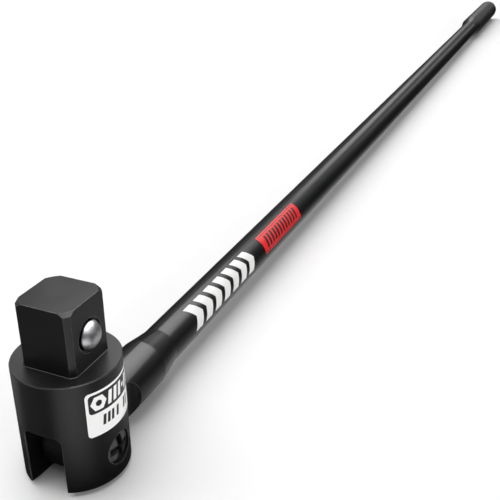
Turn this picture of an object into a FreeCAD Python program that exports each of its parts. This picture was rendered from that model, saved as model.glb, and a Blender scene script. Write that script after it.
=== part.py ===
import FreeCAD, Part
import math
import os
import Sketcher

V = FreeCAD.Vector

# Driving dimensions in millimetres. Heights in the profiles are counted from the pivot's axis,
# which is also the bar's axis, with X along the bar towards its grip and the drive pointing up.
SIZES = {
    "pivot_height": 15.0,       # the lowest edge of the ears is this far below the pivot
    "cut_margin": 1.0,          # how far a cutting profile runs past the surface that it cuts
    "coil_gap": 0.05,           # between the end of a spring and the ball that it pushes
    "pivot_place": -587.0,      # puts the origin half way along the whole tool
    # drive head
    "head_radius": 22.5,
    "shoulder_height": 39.0,
    "rim_chamfer": 0.35,
    "crown_radius": 106.0,      # the ear ends are cut from a shallow dome
    "slot_width": 17.5,
    "slot_top": 15.0,
    "slot_corner": 4.0,
    "slot_edge": 0.35,
    "drive_width": 25.4,        # a 1 inch square drive
    "drive_length": 28.5,
    "drive_round": 16.6,        # the square's corners are turned to this radius
    "drive_chamfer": 1.5,
    "drive_fillet": 0.4,
    # detent ball in the drive's face
    "ball_height": 13.0,        # above the shoulder
    "ball_radius": 6.8,
    "ball_proud": 4.0,
    "ball_clearance": 0.08,
    "lip_clearance": 0.03,
    "ball_mouth": 7.4,
    "lip_depth": 1.2,           # the staked lip that holds the ball in ends this deep
    "lip_length": 0.3,
    "ball_bore_end": 8.0,
    "ball_spring_radius": 4.6,
    "ball_spring_wire": 1.0,
    "ball_spring_turns": 5.0,
    # pivot screw and its washer
    "sink_radius": 7.5,
    "sink_floor": 15.5,         # distance from the middle plane to the counterbore's floor
    "screw_head_radius": 7.3,
    "screw_head_side": 2.9,
    "screw_dome": 2.0,
    "pivot_radius": 5.0,
    "pivot_clearance": 0.06,
    "thread_radius": 4.0,
    "thread_clearance": 0.05,
    "thread_end": 20.5,
    "tip_chamfer": 0.8,
    "recess_reach": 7.0,
    "recess_half": 1.3,
    "recess_foot": 2.4,
    "recess_foot_half": 0.8,
    "recess_depth": 3.4,
    "washer_radius": 7.1,
    "washer_bore": 5.3,
    "washer_height": 1.8,
    "washer_turn": 350.0,
    # handle bar
    "eye_radius": 14.6,
    "eye_round": 3.0,
    "tang_width": 17.0,
    "flat_end": 27.0,
    "flat_run_out": 7.0,
    "collar_radius": 12.5,
    "collar_end": 55.5,
    "shaft_start": 71.0,
    "shaft_radius": 10.25,
    "crease_round": 3.0,
    "spigot_radius": 9.0,
    "spigot_start": 1003.0,
    "spigot_end": 1188.0,
    # friction ball in the tang
    "friction_place": 10.6,
    "friction_radius": 2.5,
    "friction_clearance": 0.06,
    "friction_gap": 0.05,
    "friction_depth": 14.0,
    "friction_spring_radius": 1.75,
    "friction_spring_wire": 0.6,
    "friction_spring_turns": 8.0,
    # grip sleeve
    "grip_taper": 19.0,
    "grip_radius": 13.75,
    "grip_end": 1196.5,
    "grip_round": 5.0,
    "grip_step": 0.25,
    # labels
    "label_thickness": 0.1,
    "head_label_half": 14.2,
    "head_label_low": 12.9,
    "head_label_high": 33.8,
    "head_label_corner": 1.8,
    "shaft_label_start": 187.0,
    "shaft_label_end": 249.0,
    "shaft_label_middle": 140.5,   # degrees round the shaft from +Y
    "shaft_label_half": 6.0,
}


class Size:
    """A length that carries both its value and its formula in the spreadsheet."""

    def __init__(self, value, text):
        self.value = value
        self.text = text

    def combine(self, other, sign, value):
        text = other.text if isinstance(other, Size) else repr(other)
        return Size(value, "(%s %s %s)" % (self.text, sign, text))

    def __add__(self, other):
        return self.combine(other, "+", self.value + number(other))

    def __sub__(self, other):
        return self.combine(other, "-", self.value - number(other))

    def __mul__(self, other):
        return self.combine(other, "*", self.value * number(other))

    def __neg__(self):
        return Size(-self.value, "(-%s)" % self.text)

    def root(self):
        return Size(math.sqrt(self.value), "sqrt(%s)" % self.text)


def number(length):
    return length.value if isinstance(length, Size) else length


def size(name):
    return Size(SIZES[name], "dims." + name)


def leg(long_side, short_side):
    """The third side of a right triangle."""
    return (long_side * long_side - short_side * short_side).root()


doc = FreeCAD.newDocument("breaker_bar")
dims = doc.addObject("Spreadsheet::Sheet", "dims")
for row, (name, value) in enumerate(SIZES.items(), start=1):
    dims.set("A%d" % row, name)
    dims.set("B%d" % row, str(value))
    dims.setAlias("B%d" % row, name)
doc.recompute()

ZERO = Size(0.0, "0")
FAR = size("head_radius") * 2


def place(item, x=ZERO, y=ZERO, z=ZERO):
    """Puts a finished sub-part, drawn about the pivot, into the tool's own frame."""
    item.setExpression("Placement.Base.x", (size("pivot_place") + x).text)
    item.setExpression("Placement.Base.y", y.text)
    item.setExpression("Placement.Base.z", (size("pivot_height") + z).text)
    return item


def new_body(name):
    body = doc.addObject("PartDesign::Body", name)
    body.Label = name
    return place(body)


def new_sketch(body, name, role, offset=None):
    """A sketch on one of the body's own planes, lifted along the plane's normal by offset."""
    sketch = body.newObject("Sketcher::SketchObject", name)
    plane = [item for item in body.Origin.OriginFeatures if item.Role == role][0]
    sketch.AttachmentSupport = [(plane, "")]
    sketch.MapMode = "FlatFace"
    if offset is not None:
        sketch.AttachmentOffset = FreeCAD.Placement(V(0, 0, offset.value), FreeCAD.Rotation())
        sketch.setExpression("AttachmentOffset.Base.z", offset.text)
    return sketch


def bind(sketch, constraint, length):
    index = sketch.addConstraint(constraint)
    sketch.setExpression("Constraints[%d]" % index, length.text)


def pin_point(sketch, edge, end, point):
    """Fixes one end of an edge at a point, each coordinate by its own formula."""
    axes = (("DistanceX", -2, point[0]), ("DistanceY", -1, point[1]))
    for kind, axis, length in axes:
        if length is ZERO:
            sketch.addConstraint(Sketcher.Constraint("PointOnObject", edge, end, axis))
        else:
            bind(sketch, Sketcher.Constraint(kind, -1, 1, edge, end, length.value), length)


def arc_between(first, last, radius, side):
    """The shorter arc from first to last, which bulges to the given side of the chord."""
    chord = last - first
    middle = (first + last) * 0.5
    normal = V(-chord.y, chord.x, 0).normalize() * side
    reach = math.sqrt(max(radius ** 2 - (chord.Length / 2) ** 2, 0.0))
    top = middle + normal * (radius - reach)
    return Part.Arc(first, top, last)


def outline(sketch, points, arcs=None):
    """A closed outline. arcs maps the number of a side to its radius and the side it bulges to."""
    arcs = arcs or {}
    spots = [V(number(u), number(v), 0) for u, v in points]
    count = len(points)
    base = sketch.GeometryCount
    for i in range(count):
        first, last = spots[i], spots[(i + 1) % count]
        if i in arcs:
            radius, side = arcs[i]
            sketch.addGeometry(arc_between(first, last, radius.value, side))
        else:
            sketch.addGeometry(Part.LineSegment(first, last))
    joints = [ends(sketch, base + i, spots[i]) for i in range(count)]
    for i in range(count):
        after = (i + 1) % count
        near, far = joints[i][1], joints[i][0]
        sketch.addConstraint(Sketcher.Constraint("Coincident", base + i, near, base + after,
                                                 joints[after][0]))
        pin_point(sketch, base + i, far, points[i])
        if i in arcs:
            radius = arcs[i][0]
            bind(sketch, Sketcher.Constraint("Radius", base + i, radius.value), radius)
    return sketch


def ends(sketch, edge, start):
    """The numbers of an edge's first and last points, as the outline runs."""
    tolerance = 1e-6
    if (sketch.getPoint(edge, 1) - start).Length < tolerance:
        return 1, 2
    return 2, 1


def circle(sketch, radius, along=ZERO):
    """A circle on the sketch's horizontal axis."""
    edge = sketch.addGeometry(Part.Circle(V(along.value, 0, 0), V(0, 0, 1), radius.value))
    bind(sketch, Sketcher.Constraint("Radius", edge, radius.value), radius)
    pin_point(sketch, edge, 3, (along, ZERO))
    return sketch


def spin(body, name, sketch, axis, cut=False):
    """Turns a profile round one of the sketch's own axes."""
    kind = "PartDesign::Groove" if cut else "PartDesign::Revolution"
    feature = body.newObject(kind, name)
    feature.Profile = sketch
    feature.ReferenceAxis = (sketch, [axis])
    feature.Angle = 360.0
    doc.recompute()
    return feature


def pocket(body, name, sketch, depth, both_ways=False, backwards=False):
    feature = body.newObject("PartDesign::Pocket", name)
    feature.Profile = sketch
    feature.SideType = "Symmetric" if both_ways else "One side"
    feature.setExpression("Length", depth.text)
    feature.Reversed = backwards
    doc.recompute()
    return feature


def round_edges(body, name, base, wanted, radius, kind="PartDesign::Fillet"):
    """Rounds, or with the other kind bevels, the edges that the given test picks out."""
    names = ["Edge%d" % (i + 1) for i, edge in enumerate(base.Shape.Edges) if wanted(edge)]
    if not names:
        raise RuntimeError(name + " found no edges")
    feature = body.newObject(kind, name)
    feature.Base = (base, names)
    feature.setExpression("Radius" if kind.endswith("Fillet") else "Size", radius.text)
    doc.recompute()
    return feature


def lies_at(edge, axis, value, tolerance=1e-3):
    """True if the whole edge has the given coordinate along one axis, 0 for X to 2 for Z."""
    return all(abs(vertex.Point[axis] - value) < tolerance for vertex in edge.Vertexes) and (
        abs(edge.CenterOfMass[axis] - value) < tolerance)


def ball_place():
    """Where the detent ball's centre lies across the drive."""
    return size("ball_radius") - size("ball_proud") - size("drive_width") * 0.5


def make_drive_head():
    """Round head: square drive on top, clevis slot below, bores for the pivot and the ball."""
    body = new_body("drive_head")
    radius, shoulder = size("head_radius"), size("shoulder_height")
    chamfer, crown = size("rim_chamfer"), size("crown_radius")
    dome_centre = leg(crown, size("slot_width") * 0.5) - size("pivot_height")
    rim = radius - chamfer
    rim_height = dome_centre - leg(crown, rim)
    turned, bevel = size("drive_round"), size("drive_chamfer")
    top = shoulder + size("drive_length")
    profile = outline(new_sketch(body, "head_profile", "XZ_Plane"), [
        (ZERO, dome_centre - crown),
        (rim, rim_height),
        (radius, rim_height + chamfer),
        (radius, shoulder - chamfer),
        (rim, shoulder),
        (turned, shoulder),
        (turned, top - bevel),
        (turned - bevel, top),
        (ZERO, top),
    ], {0: (crown, -1)})
    spin(body, "turned_head", profile, "V_Axis")

    half = size("drive_width") * 0.5
    flats = new_sketch(body, "flats_outline", "XY_Plane", shoulder)
    outline(flats, [(-half, -half), (half, -half), (half, half), (-half, half)])
    outline(flats, [(-radius, -radius), (radius, -radius), (radius, radius), (-radius, radius)])
    square = pocket(body, "milled_square", flats, size("drive_length"), backwards=True)

    def at_root(edge):
        return lies_at(edge, 2, shoulder.value) and all(
            math.hypot(v.X, v.Y) < turned.value + 1e-3 for v in edge.Vertexes)
    root = round_edges(body, "drive_root", square, at_root, size("drive_fillet"))

    slot_half, corner = size("slot_width") * 0.5, size("slot_corner")
    ceiling = size("slot_top")
    slot = outline(new_sketch(body, "slot_outline", "YZ_Plane"), [
        (-slot_half, -FAR),
        (slot_half, -FAR),
        (slot_half, ceiling - corner),
        (slot_half - corner, ceiling),
        (corner - slot_half, ceiling),
        (-slot_half, ceiling - corner),
    ], {2: (corner, -1), 4: (corner, -1)})
    clevis = pocket(body, "clevis_slot", slot, FAR * 2, both_ways=True)

    def at_mouth(edge):
        middle = edge.CenterOfMass
        below_top = middle.z < ceiling.value + 1e-3
        on_skin = all(abs(math.hypot(v.X, v.Y) - radius.value) < 1e-3 for v in edge.Vertexes)
        return below_top and on_skin and abs(middle.y) < slot_half.value + 1e-3 and (
            middle.z > rim_height.value + chamfer.value)
    round_edges(body, "slot_mouth", clevis, at_mouth, size("slot_edge"), "PartDesign::Chamfer")

    sink, bearing = size("sink_radius"), size("pivot_radius") + size("pivot_clearance")
    thread = size("thread_radius")
    pivot_bore = outline(new_sketch(body, "pivot_bore_profile", "XY_Plane"), [
        (ZERO, -FAR),
        (sink, -FAR),
        (sink, -size("sink_floor")),
        (bearing, -size("sink_floor")),
        (bearing, ZERO),
        (thread, ZERO),
        (thread, FAR),
        (ZERO, FAR),
    ])
    spin(body, "pivot_bore", pivot_bore, "V_Axis", cut=True)

    ball, lip_end = size("ball_radius"), size("lip_depth") - half
    lip = leg(ball, ball_place() - lip_end) + size("lip_clearance")
    lip_start, outside = lip_end - size("lip_length"), -half - size("cut_margin")
    bore, mouth = ball + size("ball_clearance"), size("ball_mouth")
    ball_bore = outline(new_sketch(body, "ball_bore_profile", "XY_Plane",
                                   shoulder + size("ball_height")), [
        (ZERO, outside),
        (mouth, outside),
        (mouth, lip_start),
        (lip, lip_start),
        (lip, lip_end),
        (bore, lip_end + size("lip_length")),
        (bore, size("ball_bore_end")),
        (ZERO, size("ball_bore_end")),
    ])
    spin(body, "ball_bore", ball_bore, "V_Axis", cut=True)
    return body


def make_handle_bar():
    """Forged bar: eye and flats of the tang, thick collar, cone, shaft and the grip's spigot."""
    body = new_body("handle_bar")
    collar, shaft, spigot = size("collar_radius"), size("shaft_radius"), size("spigot_radius")
    bevel = size("tip_chamfer")
    bar = outline(new_sketch(body, "bar_profile", "XZ_Plane"), [
        (ZERO, ZERO),
        (ZERO, collar),
        (size("collar_end"), collar),
        (size("shaft_start"), shaft),
        (size("spigot_start"), shaft),
        (size("spigot_start"), spigot),
        (size("spigot_end") - bevel, spigot),
        (size("spigot_end"), spigot - bevel),
        (size("spigot_end"), ZERO),
    ])
    turned = spin(body, "turned_bar", bar, "H_Axis")

    def at_cone(edge):
        return any(lies_at(edge, 0, SIZES[place_name]) for place_name in
                   ("collar_end", "shaft_start"))
    round_edges(body, "cone_creases", turned, at_cone, size("crease_round"))

    half, rounding, eye = size("tang_width") * 0.5, size("eye_round"), size("eye_radius")
    eye_profile = outline(new_sketch(body, "eye_profile", "XY_Plane"), [
        (ZERO, -half),
        (eye - rounding, -half),
        (eye, rounding - half),
        (eye, half - rounding),
        (eye - rounding, half),
        (ZERO, half),
    ], {1: (rounding, -1), 3: (rounding, -1)})
    spin(body, "eye", eye_profile, "V_Axis")

    flat_end, run_out = size("flat_end"), size("flat_run_out")
    flats = new_sketch(body, "flats_outline", "XY_Plane")
    for side in (1, -1):
        outline(flats, [
            (-FAR, half * side),
            (flat_end, half * side),
            (flat_end + run_out, (half + run_out) * side),
            (flat_end + run_out, FAR * side),
            (-FAR, FAR * side),
        ], {1: (run_out, -side)})
    pocket(body, "tang_flats", flats, FAR * 2, both_ways=True)

    bore = circle(new_sketch(body, "pivot_outline", "XZ_Plane"),
                  size("pivot_radius") + size("pivot_clearance"))
    pocket(body, "pivot_bore", bore, FAR * 2, both_ways=True)

    friction = circle(new_sketch(body, "friction_outline", "XZ_Plane", -half),
                      size("friction_radius") + size("friction_clearance"),
                      size("friction_place"))
    pocket(body, "friction_bore", friction, size("friction_depth"), backwards=True)
    return body


def make_grip_sleeve():
    """Thicker end of the handle, closed at its far end and pressed on the bar's spigot."""
    body = new_body("grip_sleeve")
    inner, outer, end = size("spigot_radius"), size("grip_radius"), size("grip_end")
    start, rounding = size("spigot_start"), size("grip_round")
    profile = outline(new_sketch(body, "sleeve_profile", "XZ_Plane"), [
        (start, inner),
        (start, size("shaft_radius") + size("grip_step")),
        (start + size("grip_taper"), outer),
        (end - rounding, outer),
        (end, outer - rounding),
        (end, ZERO),
        (size("spigot_end"), ZERO),
        (size("spigot_end"), inner),
    ], {3: (rounding, 1)})
    sleeve = spin(body, "turned_sleeve", profile, "H_Axis")

    def at_taper(edge):
        return lies_at(edge, 0, (start + size("grip_taper")).value)
    round_edges(body, "taper_crease", sleeve, at_taper, size("crease_round"))
    return body


def recess_outline(sketch, reach, half):
    """A cross with four equal arms."""
    corners = [(reach, half), (half, half), (half, reach)]
    points = []
    for _ in range(4):
        points += corners
        corners = [(-v, u) for u, v in corners]
    return outline(sketch, points)


def make_pivot_screw():
    """Shoulder screw: domed head with a cross recess, plain bearing length, threaded end."""
    body = new_body("pivot_screw")
    under = -(size("sink_floor") + size("washer_height"))
    head, side, dome = size("screw_head_radius"), size("screw_head_side"), size("screw_dome")
    top = under - side - dome
    shank, thread = size("pivot_radius"), size("thread_radius") - size("thread_clearance")
    seat, tip, bevel = size("slot_width") * 0.5, size("thread_end"), size("tip_chamfer")
    dome_radius = Size((head.value ** 2 + dome.value ** 2) / (2 * dome.value),
                       "((%s ^ 2 + %s ^ 2) / (2 * %s))" % (head.text, dome.text, dome.text))
    profile = outline(new_sketch(body, "screw_profile", "XY_Plane"), [
        (ZERO, top),
        (head, top + dome),
        (head, under),
        (shank, under),
        (shank, seat),
        (thread, seat),
        (thread, tip - bevel),
        (thread - bevel, tip),
        (ZERO, tip),
    ], {0: (dome_radius, -1)})
    spin(body, "turned_screw", profile, "V_Axis")

    mouth = recess_outline(new_sketch(body, "recess_mouth", "XZ_Plane", -top),
                           size("recess_reach"), size("recess_half"))
    foot = recess_outline(new_sketch(body, "recess_foot", "XZ_Plane",
                                     -top - size("recess_depth")),
                          size("recess_foot"), size("recess_foot_half"))
    recess = body.newObject("PartDesign::SubtractiveLoft", "cross_recess")
    recess.Profile = mouth
    recess.Sections = [foot]
    recess.Ruled = True
    doc.recompute()
    return body


def make_lock_washer():
    """Split ring between the screw's head and the counterbore's floor."""
    body = new_body("lock_washer")
    inner, outer = size("washer_bore"), size("washer_radius")
    low = -size("sink_floor")
    high = low - size("washer_height")
    profile = outline(new_sketch(body, "washer_profile", "XY_Plane"), [
        (inner, low), (outer, low), (outer, high), (inner, high)])
    ring = spin(body, "split_ring", profile, "V_Axis")
    ring.setExpression("Angle", "dims.washer_turn")
    doc.recompute()
    return body


def make_ball(name, radius, x, y, z):
    ball = doc.addObject("Part::Sphere", name)
    ball.Label = name
    ball.setExpression("Radius", radius.text)
    return place(ball, x, y, z)


def make_spring(name, radius, wire, turns, length, x, y, z):
    """A coil that stands on its low end at the given point and runs towards -Y."""
    spine = doc.addObject("Part::Helix", name + "_spine")
    spine.setExpression("Radius", radius.text)
    spine.setExpression("Height", (length - wire).text)
    spine.setExpression("Pitch", "(%s) / (%s)" % ((length - wire).text, turns.text))
    section = doc.addObject("Part::Circle", name + "_section")
    section.setExpression("Radius", (wire * 0.5).text)
    section.Placement = FreeCAD.Placement(V(radius.value, 0, 0), FreeCAD.Rotation(V(1, 0, 0), 90))
    section.setExpression("Placement.Base.x", radius.text)
    coil = doc.addObject("Part::Sweep", name)
    coil.Sections = [section]
    coil.Spine = (spine, ["Edge1"])
    coil.Solid = True
    coil.Frenet = True
    coil.Label = name
    coil.Placement = FreeCAD.Placement(V(0, 0, 0), FreeCAD.Rotation(V(1, 0, 0), 90))
    doc.recompute()
    return place(coil, x, y - wire * 0.5, z)


def coil_start(ball, spring, wire):
    """How far from a ball's centre the end of the coil that bears on it lies."""
    return leg(ball + wire * 0.5, spring) - wire * 0.5 + size("coil_gap")


def make_label(name, radius, block):
    """The part of a thin tube round the given block's surface that lies inside the block."""
    outer, inner = [doc.addObject("Part::Cylinder", name + end) for end in ("_outer", "_inner")]
    for tube, grow in ((outer, size("label_thickness")), (inner, ZERO)):
        tube.setExpression("Radius", (radius + grow).text)
        tube.setExpression("Height", (FAR * 2).text)
        tube.setExpression("Placement.Base.z", (-FAR).text)
    shell = doc.addObject("Part::Cut", name + "_shell")
    shell.Base = outer
    shell.Tool = inner
    label = doc.addObject("Part::Common", name)
    label.Base = shell
    label.Tool = block
    label.Label = name
    return label


def make_head_label():
    """Adhesive label wrapped round the near side of the head."""
    block = doc.addObject("Part::Box", "head_label_box")
    half, low, high = [size("head_label_" + end) for end in ("half", "low", "high")]
    block.setExpression("Length", (half * 2).text)
    block.setExpression("Width", FAR.text)
    block.setExpression("Height", (high - low).text)
    block.setExpression("Placement.Base.x", (-half).text)
    block.setExpression("Placement.Base.y", (-FAR).text)
    block.setExpression("Placement.Base.z", low.text)
    doc.recompute()
    rounded = doc.addObject("Part::Fillet", "head_label_block")
    rounded.Base = block
    corner = SIZES["head_label_corner"]
    rounded.Edges = [(i + 1, corner, corner) for i, edge in enumerate(block.Shape.Edges)
                     if abs(edge.tangentAt(edge.FirstParameter).y) > 0.99]
    label = make_label("head_label", size("head_radius"), rounded)
    doc.recompute()
    return place(label)


def make_shaft_label():
    """Adhesive label on the upper near side of the shaft."""
    block = doc.addObject("Part::Box", "shaft_label_block")
    start, end = size("shaft_label_start"), size("shaft_label_end")
    half = size("shaft_label_half")
    block.setExpression("Length", (half * 2).text)
    block.setExpression("Width", FAR.text)
    block.setExpression("Height", (end - start).text)
    block.setExpression("Placement.Base.x", (-half).text)
    block.setExpression("Placement.Base.z", (-(end - start) * 0.5).text)
    label = make_label("shaft_label", size("shaft_radius"), block)
    lay_down = FreeCAD.Rotation(V(0, 1, 0), 90)
    turn = FreeCAD.Rotation(V(1, 0, 0), SIZES["shaft_label_middle"])
    label.Placement = FreeCAD.Placement(V(0, 0, 0), turn * lay_down)
    doc.recompute()
    return place(label, x=(start + end) * 0.5)


def make_detent():
    """Chrome ball in the drive's near face and the spring that pushes it out."""
    ball, spring, wire = [size("ball_" + end) for end in
                          ("radius", "spring_radius", "spring_wire")]
    height, bore_end = size("shoulder_height") + size("ball_height"), size("ball_bore_end")
    length = bore_end - ball_place() - coil_start(ball, spring, wire)
    return [
        make_ball("detent_ball", ball, ZERO, ball_place(), height),
        make_spring("detent_spring", spring, wire, size("ball_spring_turns"), length,
                    ZERO, bore_end, height),
    ]


def make_friction_pair():
    """Small ball and spring in the tang that rub on the far ear and hold the head's angle."""
    ball, spring, wire = [size("friction_" + end) for end in
                          ("radius", "spring_radius", "spring_wire")]
    along, ear = size("friction_place"), size("slot_width") * 0.5
    ball_y = ear - size("friction_gap") - ball
    bore_end = size("tang_width") * 0.5 - size("friction_depth")
    length = ball_y - coil_start(ball, spring, wire) - bore_end
    return [
        make_ball("friction_ball", ball, along, ball_y, ZERO),
        make_spring("friction_spring", spring, wire, size("friction_spring_turns"), length,
                    along, bore_end + length, ZERO),
    ]


def make_all():
    return [
        make_handle_bar(),
        make_grip_sleeve(),
        make_drive_head(),
        make_pivot_screw(),
        make_lock_washer(),
        *make_detent(),
        *make_friction_pair(),
        make_head_label(),
        make_shaft_label(),
    ]


def check(parts):
    for item in doc.Objects:
        if "Invalid" in item.State or "Error" in item.State:
            raise RuntimeError("%s failed: %s" % (item.Label, item.State))
    for part in parts:
        if part.Shape.isNull() or not part.Shape.isValid() or not part.Shape.Solids:
            raise RuntimeError(part.Label + " has no valid solid")


def main():
    parts = make_all()
    doc.recompute()
    check(parts)
    os.makedirs("parts", exist_ok=True)
    for part in parts:
        part.Shape.exportStep("parts/%s.step" % part.Label)
        box = part.Shape.BoundBox
        print("%-16s solids %d volume %10.2f  x %9.3f %9.3f  y %8.3f %8.3f  z %8.3f %8.3f" % (
            part.Label, len(part.Shape.Solids), part.Shape.Volume, box.XMin, box.XMax,
            box.YMin, box.YMax, box.ZMin, box.ZMax))


main()
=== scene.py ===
import math

import bmesh
import bpy
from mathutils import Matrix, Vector


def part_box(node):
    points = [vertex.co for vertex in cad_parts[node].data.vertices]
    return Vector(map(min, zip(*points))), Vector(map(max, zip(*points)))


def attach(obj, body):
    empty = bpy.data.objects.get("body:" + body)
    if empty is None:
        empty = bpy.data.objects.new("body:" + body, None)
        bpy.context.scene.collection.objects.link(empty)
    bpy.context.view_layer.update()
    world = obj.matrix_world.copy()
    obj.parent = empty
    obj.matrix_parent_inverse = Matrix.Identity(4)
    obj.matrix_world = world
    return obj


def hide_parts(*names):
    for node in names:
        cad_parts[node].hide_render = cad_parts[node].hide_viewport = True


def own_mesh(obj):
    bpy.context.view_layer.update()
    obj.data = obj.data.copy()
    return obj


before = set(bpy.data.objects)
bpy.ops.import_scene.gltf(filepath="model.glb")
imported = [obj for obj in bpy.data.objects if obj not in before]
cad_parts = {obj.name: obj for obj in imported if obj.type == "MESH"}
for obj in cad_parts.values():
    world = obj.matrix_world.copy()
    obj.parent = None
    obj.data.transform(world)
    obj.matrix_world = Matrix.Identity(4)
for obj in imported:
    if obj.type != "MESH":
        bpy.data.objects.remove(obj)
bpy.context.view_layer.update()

MM = 0.001

# ---- sizes and settings, in metres unless a name or comment says otherwise ----

# The tool lies along +X with its drive up. The stickers and the camera are placed from the head's pivot.
HEAD_LOW, HEAD_HIGH = [Vector(corner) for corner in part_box("drive_head")]
SLEEVE_LOW, SLEEVE_HIGH = [Vector(corner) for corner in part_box("grip_sleeve")]
SCREW_LOW, SCREW_HIGH = [Vector(corner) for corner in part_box("pivot_screw")]
PIVOT = Vector(((HEAD_LOW.x + HEAD_HIGH.x) / 2, 0.0, (SCREW_LOW.z + SCREW_HIGH.z) / 2))
HEAD_RADIUS = (HEAD_HIGH.x - HEAD_LOW.x) / 2
SHAFT_RADIUS = 10.25 * MM
DRIVE_WIDTH = 25.4 * MM
SCREW_DOME = 2.0 * MM
SLEEVE_RADIUS = (SLEEVE_HIGH.y - SLEEVE_LOW.y) / 2
SLEEVE_TAPER, SLEEVE_ROUND = 19.0 * MM, 5.0 * MM
FLOOR_HEIGHT = HEAD_LOW.z

# The knurl leaves the sleeve's taper and rounded end smooth. Its count is the ridges round the sleeve.
KNURL_COUNT = 27
KNURL_START = SLEEVE_LOW.x + SLEEVE_TAPER + 1.5 * MM
KNURL_END = SLEEVE_HIGH.x - SLEEVE_ROUND - 1.0 * MM
KNURL_FADE = 1.0 * MM

# Camera: its place from the pivot is given in head radii, and its directions are in degrees.
CAMERA_PLACE = Vector((-9.330, -7.641, 9.556)) * HEAD_RADIUS
CAMERA_TURN = 23.50
CAMERA_DOWN = 26.24
CAMERA_LENS_MM = 55.79
CAMERA_NEAR = 10 * MM

# The room's radiance at and below the horizon, and overhead.
ROOM_LOW, ROOM_HIGH = 0.015, 0.40

# Soft patches of the room below the horizon: the direction of each, the cosine of the angle from it
# at which the patch starts, and the radiance that it adds in its middle.
FLOOR_PATCHES = (
    ((-0.61, -0.50, -0.62), 0.80, 1.1),
    ((0.45, -0.55, -0.70), 0.75, 0.45),
    ((-0.61, 0.50, -0.62), 0.50, 0.14),
    ((0.10, 0.97, -0.24), 0.90, 0.90),
    ((0.80, 0.00, -0.60), 0.93, 0.50),
)

# Softboxes: name, place, the point it faces, width, height, radiance, and whether it shows in the steel.
ORIGIN = (0.0, 0.0, 0.0)
SOFTBOXES = (
    ("key_softbox", (0.0, 1.1, 2.0), ORIGIN, 3.8, 4.0, 1.85, False),
    ("fill_softbox", (-0.6, -1.8, 0.6), ORIGIN, 2.4, 0.8, 2.8, False),
    ("top_softbox", (0.2, 0.0, 1.8), (0.2, 0.0, 0.0), 3.2, 2.6, 5.0, True),
    ("back_softbox", (2.4, 0.3, 1.15), ORIGIN, 0.7, 0.4, 2.8, True),
    ("left_strip", (2.2, 0.30, 0.55), ORIGIN, 0.35, 0.5, 0.7, True),
    ("right_strip", (2.2, -0.45, 0.55), ORIGIN, 0.3, 0.5, 0.9, True),
)

# The floor lights itself from GLOW_START out, and is fully white from GLOW_FULL on. The wall stands
# near its edge.
FLOOR_REACH = 6.0
GLOW_START, GLOW_FULL = 0.9, 1.9
WALL_RADIUS, WALL_HEIGHT, WALL_SIDES = 5.9, 6.0, 96

# The dark card under the head's foot is full and faded out at these distances from the pivot.
SHADE_FULL, SHADE_REACH, SHADE_SIDES = HEAD_RADIUS * 1.2, HEAD_RADIUS * 3.0, 64

# Stickers and print. A sticker's layers lie on each other from the steel outwards.
STICKER_THICKNESS = 0.05 * MM
INK_THICKNESS = 0.02 * MM
PAINT_THICKNESS = 0.03 * MM

# A film bends along u on the head and along v on the shaft, in flat strips of this width.
BENDS_U, BENDS_V = 0, 1
FACET = 0.5 * MM

# The depth of the finest grain in the steel's finish, and the detail of its noise.
GRAIN_DEPTH = 0.02 * MM
GRAIN_DETAIL = 2.0

WHITE = (1.0, 1.0, 1.0)


# ---- node helpers, where material can also be the world ----

def new_material(name, base_color, roughness, metallic=0.0):
    """A material with a Principled shader whose constant values are set on its own sockets."""
    material = bpy.data.materials.new(name)
    material.use_nodes = True
    shader = material.node_tree.nodes["Principled BSDF"]
    shader.inputs["Base Color"].default_value = (*base_color, 1.0)
    shader.inputs["Roughness"].default_value = roughness
    shader.inputs["Metallic"].default_value = metallic
    return material, shader


def add_node(material, kind, **values):
    """A new node with these properties."""
    node = material.node_tree.nodes.new(kind)
    for name, value in values.items():
        setattr(node, name, value)
    return node


def link(material, source, target):
    material.node_tree.links.new(source, target)


def object_place(material):
    """The coordinates of the surface in the frame, in metres."""
    return add_node(material, "ShaderNodeTexCoord").outputs["Object"]


def math_node(material, operation, first, second=None):
    """The result of one operation on node outputs or plain numbers."""
    node = add_node(material, "ShaderNodeMath", operation=operation)
    for socket, value in zip(node.inputs, (first, second)):
        if isinstance(value, float):
            socket.default_value = value
        elif value is not None:
            link(material, value, socket)
    return node.outputs["Value"]


def vector_math(material, operation, first, second=None):
    """The number that an operation on vectors gives. second is another node's output or a vector."""
    node = add_node(material, "ShaderNodeVectorMath", operation=operation)
    link(material, first, node.inputs[0])
    if isinstance(second, (tuple, Vector)):
        node.inputs[1].default_value = second
    elif second is not None:
        link(material, second, node.inputs[1])
    return node.outputs["Value"]


def along_axes(material, source):
    """The X, Y and Z of a vector, by name."""
    node = add_node(material, "ShaderNodeSeparateXYZ")
    link(material, source, node.inputs["Vector"])
    return node.outputs


def stretched(material, source, stretch):
    """The coordinates scaled by a different factor along each axis."""
    mapping = add_node(material, "ShaderNodeMapping")
    mapping.inputs["Scale"].default_value = stretch
    link(material, source, mapping.inputs["Vector"])
    return mapping.outputs["Vector"]


def noise(material, source, scale, detail=4.0, roughness=0.6):
    node = add_node(material, "ShaderNodeTexNoise")
    node.inputs["Scale"].default_value = scale
    node.inputs["Detail"].default_value = detail
    node.inputs["Roughness"].default_value = roughness
    link(material, source, node.inputs["Vector"])
    return node.outputs["Fac"]


def spread(material, source, low, high, start=0.3, end=0.7):
    """Maps a value from start to end onto low to high."""
    node = add_node(material, "ShaderNodeMapRange")
    for name, value in (("From Min", start), ("From Max", end), ("To Min", low), ("To Max", high)):
        node.inputs[name].default_value = value
    link(material, source, node.inputs["Value"])
    return node.outputs["Result"]


def rising(material, source, start, end):
    """0 up to start and 1 from end on."""
    return spread(material, source, 0.0, 1.0, start, end)


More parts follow.
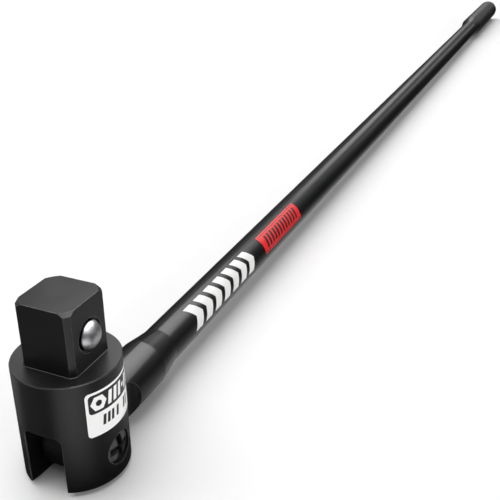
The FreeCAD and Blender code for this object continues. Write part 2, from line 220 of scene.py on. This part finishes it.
def falling(material, source, start, end):
    """1 up to start and 0 from end on."""
    return spread(material, source, 1.0, 0.0, start, end)


def blend_colors(material, factor, first, second):
    """first where factor is 0 and second where it is 1. Each is a colour or another node's output."""
    node = add_node(material, "ShaderNodeMix", data_type="RGBA")
    link(material, factor, node.inputs["Factor"])
    sockets = [socket for socket in node.inputs if socket.type == "RGBA"]
    for socket, value in zip(sockets, (first, second)):
        if isinstance(value, tuple):
            socket.default_value = (*value, 1.0)
        else:
            link(material, value, socket)
    return [socket for socket in node.outputs if socket.type == "RGBA"][0]


def mottled(material, pattern, first, second):
    """Two colours, mixed by a noise."""
    return blend_colors(material, spread(material, pattern, 0.0, 1.0), first, second)


def add_bump(material, shader, height, distance, strength=1.0):
    node = add_node(material, "ShaderNodeBump")
    node.inputs["Strength"].default_value = strength
    node.inputs["Distance"].default_value = distance
    link(material, height, node.inputs["Height"])
    link(material, node.outputs["Normal"], shader.inputs["Normal"])


def edge_mask(material, radius):
    """Near 1 on sharp edges and 0 on flat surfaces, from how far a bevelled normal leans."""
    edge_cosine, flat_cosine = 0.80, 0.97
    bevel = add_node(material, "ShaderNodeBevel", samples=6)
    bevel.inputs["Radius"].default_value = radius
    geometry = add_node(material, "ShaderNodeNewGeometry")
    agreement = vector_math(material, "DOT_PRODUCT", bevel.outputs["Normal"], geometry.outputs["Normal"])
    return falling(material, agreement, edge_cosine, flat_cosine)


# ---- materials ----

def black_steel(name, stretch, satin, uneven):
    """Satin black oxide: a fine even grain, a faint cloudiness, and sharp edges painted lighter as thin,
    uneven highlight lines.
    """
    dark, light, wear_and_highlight = (0.004, 0.004, 0.0045), (0.007, 0.007, 0.0075), (0.55, 0.55, 0.555)
    cloud_scale, grain_scale, highlight_scale = 45.0, 2600.0, 380.0
    edge_width, faintest_highlight, brightest_highlight = 0.25 * MM, 0.35, 0.9
    material, shader = new_material(name, dark, satin)
    place = object_place(material)
    clouds = noise(material, stretched(material, place, stretch), cloud_scale)
    grain = noise(material, place, grain_scale, detail=GRAIN_DETAIL)
    cloudy = mottled(material, clouds, dark, light)
    highlight_strength = spread(material, noise(material, place, highlight_scale), faintest_highlight, brightest_highlight)
    # Painted highlight: sharp edges, concave ones as well, get a light grey line whose strength a noise
    # varies.
    edges = math_node(material, "MULTIPLY", edge_mask(material, edge_width), highlight_strength)
    link(material, blend_colors(material, edges, cloudy, wear_and_highlight), shader.inputs["Base Color"])
    link(material, spread(material, clouds, satin - uneven, satin + uneven), shader.inputs["Roughness"])
    add_bump(material, shader, grain, GRAIN_DEPTH, strength=0.35)
    return material


def knurled_steel(name):
    """Black steel, rolled with a dull diamond knurl from KNURL_START to KNURL_END along X and satin
    outside them."""
    dark, light, wear_and_highlight = (0.003, 0.003, 0.0035), (0.009, 0.009, 0.0095), (0.022, 0.022, 0.023)
    cloud_scale, knurl_depth = 70.0, 0.10 * MM
    tip_start, tip_full = 0.2, 0.9
    satin_low, satin_high, dull_low, dull_high = 0.30, 0.36, 0.28, 0.46
    material, shader = new_material(name, dark, 0.40)
    place = object_place(material)
    axes = along_axes(material, place)
    above = math_node(material, "SUBTRACT", axes["Z"], PIVOT.z)
    angle = math_node(material, "ARCTAN2", above, axes["Y"])
    round_turn = math_node(material, "MULTIPLY", angle, float(KNURL_COUNT))
    along = math_node(material, "MULTIPLY", axes["X"], KNURL_COUNT / SLEEVE_RADIUS)
    first = math_node(material, "SINE", math_node(material, "ADD", along, round_turn))
    second = math_node(material, "SINE", math_node(material, "SUBTRACT", along, round_turn))
    peaks = math_node(material, "MINIMUM", first, second)
    near = rising(material, axes["X"], KNURL_START, KNURL_START + KNURL_FADE)
    far = falling(material, axes["X"], KNURL_END - KNURL_FADE, KNURL_END)
    rolled = math_node(material, "MULTIPLY", near, far)
    clouds = noise(material, place, cloud_scale)
    cloudy = mottled(material, clouds, dark, light)
    tips = math_node(material, "MULTIPLY", rising(material, peaks, tip_start, tip_full), rolled)
    link(material, blend_colors(material, tips, cloudy, wear_and_highlight), shader.inputs["Base Color"])
    satin = spread(material, clouds, satin_low, satin_high)
    dull = spread(material, clouds, dull_low, dull_high)
    rough = add_node(material, "ShaderNodeMix", data_type="FLOAT")
    link(material, rolled, rough.inputs["Factor"])
    link(material, satin, rough.inputs["A"])
    link(material, dull, rough.inputs["B"])
    link(material, rough.outputs["Result"], shader.inputs["Roughness"])
    add_bump(material, shader, math_node(material, "MULTIPLY", peaks, rolled), knurl_depth)
    return material


def screw_steel(name):
    """Black steel. The gap round the dome and the recess are painted near black as shade, and painted
    shade in bands beside the recess's arms makes the recess look wider. All of the steel that lies deeper
    than the head's dome is painted as shade."""
    dark, light, painted_shade_color = (0.050, 0.050, 0.051), (0.085, 0.085, 0.086), (0.001, 0.001, 0.001)
    cloud_scale, grain_scale = 260.0, 1800.0
    open_roughness, shade_roughness = 0.30, 0.95
    gap_full, gap_start = 0.6 * MM, 0.15 * MM
    arm_shade_full, arm_shade_end = 1.5 * MM, 2.2 * MM
    reach_full, reach_end = 5.4 * MM, 6.6 * MM
    front_full, front_end = SCREW_LOW.y + 6.0 * MM, SCREW_LOW.y + 7.0 * MM
    material, shader = new_material(name, dark, 0.34)
    half_width = (SCREW_HIGH.x - SCREW_LOW.x) / 2
    dome_radius = (half_width ** 2 + SCREW_DOME ** 2) / (2 * SCREW_DOME)
    place = object_place(material)
    clouds = noise(material, place, cloud_scale)
    dome_middle = (PIVOT.x, SCREW_LOW.y + dome_radius, PIVOT.z)
    offset = vector_math(material, "DISTANCE", place, dome_middle)
    inside = falling(material, offset, dome_radius - gap_full, dome_radius - gap_start)
    axes = along_axes(material, place)
    along, up = [math_node(material, "ABSOLUTE", math_node(material, "SUBTRACT", axes[axis], middle))
                 for axis, middle in (("X", PIVOT.x), ("Z", PIVOT.z))]
    beside = falling(material, math_node(material, "MINIMUM", along, up), arm_shade_full, arm_shade_end)
    reach = falling(material, math_node(material, "MAXIMUM", along, up), reach_full, reach_end)
    front = falling(material, axes["Y"], front_full, front_end)
    arm_shade = math_node(material, "MULTIPLY", math_node(material, "MULTIPLY", beside, reach), front)
    # Painted shade: the gap, the recess and the bands beside its arms are near black and rough.
    painted_shade = math_node(material, "MAXIMUM", inside, arm_shade)
    cloudy = mottled(material, clouds, dark, light)
    link(material, blend_colors(material, painted_shade, cloudy, painted_shade_color), shader.inputs["Base Color"])
    roughness = spread(material, painted_shade, open_roughness, shade_roughness, 0.0, 1.0)
    link(material, roughness, shader.inputs["Roughness"])
    grain = noise(material, place, grain_scale, detail=GRAIN_DETAIL)
    add_bump(material, shader, grain, GRAIN_DEPTH, strength=0.4)
    return material


def polished_steel(name, foot=None):
    """Bright ball with a mottled polish. Where a foot is given, the ball is painted black as shade from
    there inwards along +Y, deep in its hole."""
    dull, bright, gap_shade = (0.42, 0.42, 0.44), (0.92, 0.92, 0.94), (0.006, 0.006, 0.007)
    swirl_scale, swirl_depth, smoothest, roughest = 300.0, 0.15 * MM, 0.30, 0.48
    gap_shade_start, gap_shade_full = 0.7 * MM, 0.2 * MM
    material, shader = new_material(name, (0.62, 0.62, 0.64), 0.36, metallic=1.0)
    place = object_place(material)
    swirl = noise(material, place, swirl_scale)
    tint = mottled(material, swirl, dull, bright)
    if foot is not None:
        inwards = along_axes(material, place)["Y"]
        # Painted shade: the part of the ball down in its hole is painted near black.
        gap_shaded = rising(material, inwards, foot - gap_shade_start, foot - gap_shade_full)
        tint = blend_colors(material, gap_shaded, tint, gap_shade)
    link(material, tint, shader.inputs["Base Color"])
    link(material, spread(material, swirl, smoothest, roughest), shader.inputs["Roughness"])
    add_bump(material, shader, swirl, swirl_depth, strength=0.5)
    return material


def spring_wire(name):
    """Drawn wire: bright grey with darker streaks."""
    dark, light = (0.30, 0.30, 0.31), (0.50, 0.50, 0.51)
    streak_scale, smoothest, roughest = 900.0, 0.28, 0.45
    material, shader = new_material(name, (0.42, 0.42, 0.43), 0.35, metallic=1.0)
    streaks = noise(material, object_place(material), streak_scale)
    link(material, mottled(material, streaks, dark, light), shader.inputs["Base Color"])
    link(material, spread(material, streaks, smoothest, roughest), shader.inputs["Roughness"])
    return material


def printed_film(name, color, shade, roughness):
    """Printed vinyl or ink: an even colour with faint mottling and a slightly uneven gloss."""
    mottle_scale, grain_scale, film_grain_depth = 300.0, 1500.0, 0.01 * MM
    glossier, duller = 0.05, 0.08
    material, shader = new_material(name, color, roughness)
    place = object_place(material)
    mottle = noise(material, place, mottle_scale)
    link(material, mottled(material, mottle, color, shade), shader.inputs["Base Color"])
    gloss = spread(material, mottle, roughness - glossier, roughness + duller)
    link(material, gloss, shader.inputs["Roughness"])
    grain = noise(material, place, grain_scale, detail=GRAIN_DETAIL)
    add_bump(material, shader, grain, film_grain_depth, strength=0.25)
    return material


def floor_sheet(name):
    """Plain pale paper. Far out, beyond the lights' reach, it lights itself."""
    dark, light, fibre_scale = (0.895, 0.895, 0.895), (0.905, 0.905, 0.905), 60.0
    material, shader = new_material(name, (0.90, 0.90, 0.90), 0.75)
    shader.inputs["Specular IOR Level"].default_value = 0.2
    shader.inputs["Emission Color"].default_value = (*WHITE, 1.0)
    place = object_place(material)
    glow = rising(material, vector_math(material, "LENGTH", place), GLOW_START, GLOW_FULL)
    link(material, glow, shader.inputs["Emission Strength"])
    fibres = noise(material, place, fibre_scale)
    link(material, mottled(material, fibres, dark, light), shader.inputs["Base Color"])
    return material


def set_material(node, material):
    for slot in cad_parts[node].material_slots:
        slot.link = "OBJECT"
        slot.material = material


# ---- springs ----

def add_spring(node, body, material):
    """The coils of a CAD spring, as a copy of its mesh in the given material that rides on the body, in
    place of the hidden CAD node."""
    piece = bpy.data.objects.new(node + "_coils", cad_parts[node].data.copy())
    piece.data.materials.clear()
    piece.data.materials.append(material)
    bpy.context.scene.collection.objects.link(piece)
    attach(piece, body)
    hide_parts(node)
    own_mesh(piece)


# ---- stickers and print ----

def rounded_box(left, low, right, high, radius, steps=6):
    """Outline of a rectangle with round corners, counter-clockwise."""
    corners = ((right, low, -90), (right, high, 0), (left, high, 90), (left, low, 180))
    points = []
    for u, v, start in corners:
        centre_u = u - math.copysign(radius, u - (left + right) / 2)
        centre_v = v - math.copysign(radius, v - (low + high) / 2)
        for step in range(steps + 1):
            angle = math.radians(start + 90 * step / steps)
            points.append((centre_u + radius * math.cos(angle), centre_v + radius * math.sin(angle)))
    return points


def slanted_bar(left, low, width, height, lean):
    """Outline of a bar whose top is shifted sideways by lean."""
    high = low + height
    return [(left, low), (left + width, low), (left + width + lean, high), (left + lean, high)]


def chevron(left, low, width, height, lean):
    """Outline of an arrow-like stripe with its point half way up."""
    middle, high = low + height / 2, low + height
    return [(left, low), (left + width, low), (left + width + lean, middle), (left + width, high),
            (left, high), (left + lean, middle)]


def on_head(u, v, w):
    """Round the head: u along its surface from the middle of the -Y side, v up, w outwards."""
    angle = u / HEAD_RADIUS - math.pi / 2
    radius = HEAD_RADIUS + w
    return Vector((PIVOT.x + radius * math.cos(angle), radius * math.sin(angle), PIVOT.z + v))


def on_shaft(u, v, w):
    """Round the shaft: u along it from the pivot, v round it and up from the -Y side, w outwards."""
    angle = v / SHAFT_RADIUS
    radius = SHAFT_RADIUS + w
    return Vector((PIVOT.x + u, -radius * math.cos(angle), PIVOT.z + radius * math.sin(angle)))


def lay_film(name, outlines, lay, low, high, across, body, material):
    """Closed thin pieces from flat outlines, wrapped by lay, from low to high above the steel.
    across is the axis that bends."""
    mesh = bmesh.new()
    for outline in outlines:
        mesh.faces.new([mesh.verts.new((u, v, 0.0)) for u, v in outline])
    values = [vert.co[across] for vert in mesh.verts]
    normal = Vector((1.0, 0.0, 0.0)) if across == BENDS_U else Vector((0.0, 1.0, 0.0))
    for step in range(math.ceil(min(values) / FACET), math.ceil(max(values) / FACET)):
        geometry = mesh.verts[:] + mesh.edges[:] + mesh.faces[:]
        bmesh.ops.bisect_plane(mesh, geom=geometry, plane_co=normal * (step * FACET),
                               plane_no=normal, dist=1e-7)
    flat = mesh.faces[:] + mesh.edges[:]
    raised = bmesh.ops.extrude_face_region(mesh, geom=flat, use_keep_orig=True)
    for item in raised["geom"]:
        if isinstance(item, bmesh.types.BMVert):
            item.co.z = 1.0
    for vert in mesh.verts:
        vert.co = lay(vert.co.x, vert.co.y, low + vert.co.z * (high - low))
    bmesh.ops.recalc_face_normals(mesh, faces=mesh.faces[:])
    data = bpy.data.meshes.new(name)
    mesh.to_mesh(data)
    mesh.free()
    data.materials.append(material)
    piece = bpy.data.objects.new(name, data)
    bpy.context.scene.collection.objects.link(piece)
    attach(piece, body)
    return piece


def hexagon(centre_u, centre_v, radius, turn):
    """Outline of a hexagon, turned by some degrees."""
    angles = [math.radians(turn + 60 * i) for i in range(6)]
    return [(centre_u + radius * math.cos(angle), centre_v + radius * math.sin(angle))
            for angle in angles]


def dress_head(white, black):
    """White sticker with a black band. A plain nut and slanted bars stand where words would be."""
    top, inked = STICKER_THICKNESS, STICKER_THICKNESS + INK_THICKNESS
    half, low, high, corner = 15.3 * MM, 12.9 * MM, 33.8 * MM, 1.8 * MM
    band_low, band_high, inset, band_corner = 23.8 * MM, 32.7 * MM, 1.2 * MM, 1.6 * MM
    nut_place, nut_radius, hole_radius = -9.6 * MM, 3.7 * MM, 1.5 * MM
    bar_places = (-5.4, -2.3, 0.8, 6.5, 9.6)
    bar_width, bar_height, bar_lean = 1.9 * MM, 6.2 * MM, 0.9 * MM
    dash_place, dash_width, dash_height, dash_lean = 4.2 * MM, 1.6 * MM, 1.8 * MM, 0.3 * MM
    mark_places, mark_low = (-8.6, -6.4, -4.2, -1.2, 4.3, 6.6), 16.9 * MM
    mark_width, mark_height, mark_lean = 1.4 * MM, 4.8 * MM, 0.6 * MM

    base = lay_film("head_sticker", [rounded_box(-half, low, half, high, corner)],
                    on_head, 0.0, top, BENDS_U, "head", white)
    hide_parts("head_label")
    lay_film("head_sticker_band",
             [rounded_box(inset - half, band_low, half - inset, band_high, band_corner)],
             on_head, top, inked, BENDS_U, "head", black)
    middle = (band_low + band_high) / 2
    bars = [slanted_bar(place * MM, middle - bar_height / 2, bar_width, bar_height, bar_lean)
            for place in bar_places]
    dash = slanted_bar(dash_place, middle - dash_height / 2, dash_width, dash_height, dash_lean)
    lay_film("head_sticker_band_shapes", [hexagon(nut_place, middle, nut_radius, turn=0)] + bars + [dash],
             on_head, inked, inked + INK_THICKNESS, BENDS_U, "head", white)
    lay_film("head_sticker_nut_hole", [hexagon(nut_place, middle, hole_radius, turn=30)],
             on_head, inked + INK_THICKNESS, inked + 2 * INK_THICKNESS, BENDS_U, "head", black)
    marks = [slanted_bar(place * MM, mark_low, mark_width, mark_height, mark_lean)
             for place in mark_places]
    lay_film("head_sticker_marks", marks, on_head, top, inked, BENDS_U, "head", black)


def dress_shaft(red, dark, paint):
    """Red sticker with a dark border and a row of dark bars, and white chevrons painted before it."""
    top, inked = STICKER_THICKNESS, STICKER_THICKNESS + INK_THICKNESS
    start, end, half, corner = 187.0 * MM, 249.0 * MM, 6.4 * MM, 0.8 * MM
    sticker_turn, print_turn = math.radians(39.5), math.radians(36)
    middle, print_middle = sticker_turn * SHAFT_RADIUS, print_turn * SHAFT_RADIUS
    inset, line, line_corner = 0.9 * MM, 0.45 * MM, 0.1 * MM
    bar_count, bar_start, bar_step = 12, start + 5.0 * MM, 4.4 * MM
    bar_width, bar_height, bar_lean = 2.4 * MM, 7.8 * MM, 1.9 * MM
    chevron_count, chevron_start, chevron_step = 7, 92.5 * MM, 11.3 * MM
    chevron_width, chevron_height, chevron_lean = 7.2 * MM, 14.2 * MM, 4.2 * MM

    base = lay_film("shaft_sticker", [rounded_box(start, middle - half, end, middle + half, corner)],
                    on_shaft, 0.0, top, BENDS_V, "handle", red)
    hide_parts("shaft_label")
    lines = [rounded_box(start + inset, low, end - inset, low + line, line_corner, steps=2)
             for low in (middle + inset - half, middle + half - inset - line)]
    bars = [slanted_bar(bar_start + i * bar_step, middle - bar_height / 2,
                        bar_width, bar_height, bar_lean) for i in range(bar_count)]
    lay_film("shaft_sticker_print", lines + bars,
             on_shaft, top, inked, BENDS_V, "handle", dark)
    chevrons = [chevron(chevron_start + i * chevron_step, print_middle - chevron_height / 2,
                        chevron_width, chevron_height, chevron_lean) for i in range(chevron_count)]
    lay_film("shaft_print", chevrons,
             on_shaft, 0.0, PAINT_THICKNESS, BENDS_V, "handle", paint)


# ---- studio ----

def add_staged(name, mesh, material):
    """A piece of the studio. The steel doesn't mirror it unless the caller turns that on."""
    data = bpy.data.meshes.new(name)
    mesh.to_mesh(data)
    mesh.free()
    data.materials.append(material)
    piece = bpy.data.objects.new(name, data)
    piece.visible_glossy = False
    bpy.context.scene.collection.objects.link(piece)
    return piece


def add_floor():
    mesh = bmesh.new()
    bmesh.ops.create_grid(mesh, x_segments=1, y_segments=1, size=FLOOR_REACH)
    floor = add_staged("floor", mesh, floor_sheet("pale_floor"))
    floor.location.z = FLOOR_HEIGHT


def add_wall():
    """A round wall that lights itself white. It only closes the view, and lights nothing else."""
    mesh = bmesh.new()
    bmesh.ops.create_cone(mesh, segments=WALL_SIDES, radius1=WALL_RADIUS, radius2=WALL_RADIUS,
                          depth=WALL_HEIGHT)
    material, shader = new_material("pale_wall", (0.0, 0.0, 0.0), 0.9)
    shader.inputs["Emission Color"].default_value = (*WHITE, 1.0)
    shader.inputs["Emission Strength"].default_value = 1.0
    wall = add_staged("wall", mesh, material)
    wall.location.z = FLOOR_HEIGHT + WALL_HEIGHT / 2
    wall.visible_diffuse = wall.visible_shadow = False


def add_shade_card():
    """Stands for the dark floor under the head, which its slot mirrors. Only reflections see it."""
    mesh = bmesh.new()
    bmesh.ops.create_circle(mesh, cap_ends=True, segments=SHADE_SIDES, radius=SHADE_REACH)
    material, shader = new_material("shade", (0.02, 0.02, 0.02), 0.9)
    reach = vector_math(material, "LENGTH", object_place(material))
    link(material, falling(material, reach, SHADE_FULL, SHADE_REACH), shader.inputs["Alpha"])
    card = add_staged("shade_card", mesh, material)
    card.location = (PIVOT.x, 0.0, FLOOR_HEIGHT)
    card.visible_glossy = True
    card.visible_camera = card.visible_diffuse = card.visible_shadow = False


def add_softbox(name, place, aim, width, height, radiance, glossy):
    """A lit rectangle of even radiance. A glossy one shows in the steel and lights nothing, and any
    other does the reverse."""
    data = bpy.data.lights.new(name, "AREA")
    data.shape = "RECTANGLE"
    data.size = width
    data.size_y = height
    data.energy = radiance * math.pi * width * height
    light = bpy.data.objects.new(name, data)
    light.location = place
    light.rotation_euler = (Vector(aim) - Vector(place)).to_track_quat("-Z", "Y").to_euler()
    light.visible_glossy = glossy
    light.visible_diffuse = not glossy
    bpy.context.scene.collection.objects.link(light)


def add_world():
    """A dim room, darkest at the horizon. Below it, where only the steel's reflections reach, the pale
    floor round the tool shows as soft patches."""
    world = bpy.data.worlds.new("studio")
    world.use_nodes = True
    direction = add_node(world, "ShaderNodeTexCoord").outputs["Generated"]
    strength = spread(world, along_axes(world, direction)["Z"], ROOM_LOW, ROOM_HIGH, 0.0, 1.0)
    for middle, start, radiance in FLOOR_PATCHES:
        toward = vector_math(world, "DOT_PRODUCT", direction, Vector(middle).normalized())
        patch = spread(world, toward, 0.0, radiance, start, 1.0)
        strength = math_node(world, "ADD", strength, patch)
    background = world.node_tree.nodes["Background"]
    background.inputs["Color"].default_value = (*WHITE, 1.0)
    link(world, strength, background.inputs["Strength"])
    bpy.context.scene.world = world


def add_camera():
    data = bpy.data.cameras.new("camera")
    data.lens = CAMERA_LENS_MM
    data.clip_start = CAMERA_NEAR
    camera = bpy.data.objects.new("camera", data)
    turn, down = math.radians(CAMERA_TURN), math.radians(CAMERA_DOWN)
    look = Vector((math.cos(turn) * math.cos(down), math.sin(turn) * math.cos(down),
                   -math.sin(down)))
    camera.location = PIVOT + CAMERA_PLACE
    camera.rotation_euler = look.to_track_quat("-Z", "Y").to_euler()
    bpy.context.scene.collection.objects.link(camera)
    bpy.context.scene.camera = camera


add_camera()
add_floor()
add_wall()
add_shade_card()
for softbox in SOFTBOXES:
    add_softbox(*softbox)
add_world()
bpy.context.scene.view_settings.view_transform = "Standard"

bar_steel = black_steel("bar_black_steel", stretch=(0.25, 1.0, 1.0), satin=0.30, uneven=0.02)
head_steel = black_steel("head_black_steel", stretch=(1.0, 1.0, 1.0), satin=0.34, uneven=0.04)
set_material("handle_bar", bar_steel)
set_material("grip_sleeve", knurled_steel("sleeve_knurled_steel"))
for cad_node in ("drive_head", "lock_washer"):
    set_material(cad_node, head_steel)
set_material("pivot_screw", screw_steel("screw_black_steel"))
set_material("detent_ball", polished_steel("detent_polished_steel", foot=-DRIVE_WIDTH / 2))
set_material("friction_ball", polished_steel("friction_polished_steel"))
wire_steel = spring_wire("spring_wire")
add_spring("detent_spring", "head",
           material=wire_steel)
add_spring("friction_spring", "handle",
           material=wire_steel)

white_film = printed_film("white_film", (0.98, 0.98, 0.97), (0.94, 0.94, 0.93), roughness=0.35)
black_ink = printed_film("black_ink", (0.012, 0.012, 0.013), (0.020, 0.020, 0.021), roughness=0.35)
red_film = printed_film("red_film", (0.80, 0.010, 0.013), (0.72, 0.008, 0.011), roughness=0.40)
white_paint = printed_film("white_paint", (0.86, 0.86, 0.85), (0.78, 0.78, 0.77), roughness=0.50)
dress_head(white_film, black_ink)
dress_shaft(red_film, black_ink, white_paint)
